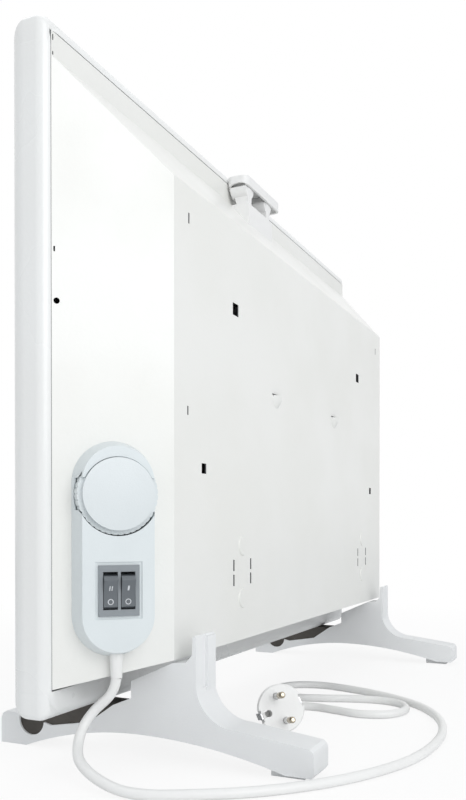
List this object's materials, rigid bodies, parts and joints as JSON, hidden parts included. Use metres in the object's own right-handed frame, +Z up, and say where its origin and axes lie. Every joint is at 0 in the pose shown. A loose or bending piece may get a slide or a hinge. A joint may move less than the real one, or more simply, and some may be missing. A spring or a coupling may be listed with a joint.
{
  "type": "convector heater",
  "caption": "Upright electric convector heater on two moulded feet, with a bevelled rear casing, carry handle, thermostat knob, twin rocker switch and a mains lead with a round plug.",
  "frame": {"origin": "on the floor, under the middle of the box round the heater without its lead", "axes": "+X along the heater towards the end with the controls, +Y from the front panel to the rear casing, +Z up"},
  "size_m": [0.6128, 0.2865, 0.464],
  "materials": {
    "panel_paint": "satin",
    "casing_paint": "satin",
    "zinc_steel": "satin",
    "fin_aluminium": "satin",
    "tube_steel": "satin",
    "ceramic": "matte",
    "foot_plastic": "satin",
    "control_plastic": "satin",
    "switch_plastic": "satin",
    "rocker_plastic": "gloss",
    "brass": "polished",
    "cord_pvc": "satin",
    "seat_rubber": "matte"
  },
  "bodies": {
    "heater": {"front_panel": "panel_paint", "rear_casing": "casing_paint", "corner_clips": "zinc_steel", "heat_shield": "zinc_steel", "element_tube_one": "tube_steel", "element_tube_two": "tube_steel", "element_fins": "fin_aluminium", "element_bushes": "ceramic", "near_bracket": "zinc_steel", "far_bracket": "zinc_steel", "thermal_cutout": "ceramic", "terminal_block": "ceramic", "handle_base": "foot_plastic", "handle_grip": "foot_plastic", "handle_screws": "zinc_steel", "near_foot": "foot_plastic", "far_foot": "foot_plastic", "foot_seats": "seat_rubber", "foot_screws": "zinc_steel", "control_plate": "zinc_steel", "control_screws": "zinc_steel", "thermostat_body": "ceramic", "control_housing": "control_plastic", "switch_case": "switch_plastic", "switch_terminals": "brass", "cord_gland": "cord_pvc", "power_cord": "cord_pvc", "plug_body": "cord_pvc", "plug_pins": "brass", "pin_sleeves": "cord_pvc", "earth_contacts": "zinc_steel"},
    "thermostat": {"thermostat_knob": "control_plastic", "thermostat_spindle": "tube_steel"},
    "rocker_one": {"rocker_one": "rocker_plastic"},
    "rocker_two": {"rocker_two": "rocker_plastic"}
  },
  "joints": [
    {"name": "thermostat_turn", "type": "hinge", "parent": "heater", "child": "thermostat", "pos_m": [0.27339, -0.00028, 0.1727], "axis": [-0.7136, -0.7006, 0], "range_deg": [0, 270]},
    {"name": "rocker_one_press", "type": "hinge", "parent": "heater", "child": "rocker_one", "pos_m": [0.27103, 0.00498, 0.114], "axis": [0.7006, -0.7136, 0], "range_deg": [0, 20]},
    {"name": "rocker_two_press", "type": "hinge", "parent": "heater", "child": "rocker_two", "pos_m": [0.2786, -0.00273, 0.114], "axis": [0.7006, -0.7136, 0], "range_deg": [0, 20]}
  ]
}
